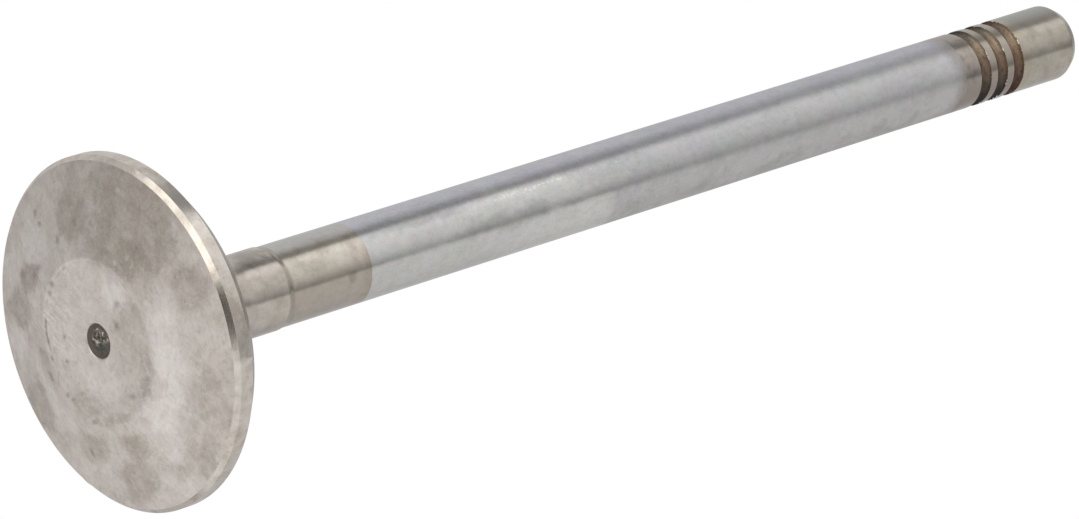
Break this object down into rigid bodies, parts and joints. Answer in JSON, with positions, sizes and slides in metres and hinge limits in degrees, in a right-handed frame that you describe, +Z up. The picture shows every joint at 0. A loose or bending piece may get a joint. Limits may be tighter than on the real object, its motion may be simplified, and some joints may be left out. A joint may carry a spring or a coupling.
{
  "type": "engine valve",
  "caption": "Poppet valve turned in one piece: shallow cone face with a flat middle, seat cone, swept neck, long ground and plated stem, and round-bottomed keeper grooves below a plain tip.",
  "frame": {"origin": "centre of the flat in the middle of the head's face, on which the valve stands", "axes": "+Z up the stem from the head's face to the tip; the valve is round about Z, so X and Y are free"},
  "size_m": [0.0428, 0.0426, 0.1636],
  "materials": {
    "valve_steel": "turned and ground heat-resisting steel, stem hard chrome plated, head and neck satin with used, stained patches"
  },
  "bodies": {
    "root": {"valve": "valve_steel"}
  },
  "joints": []
}
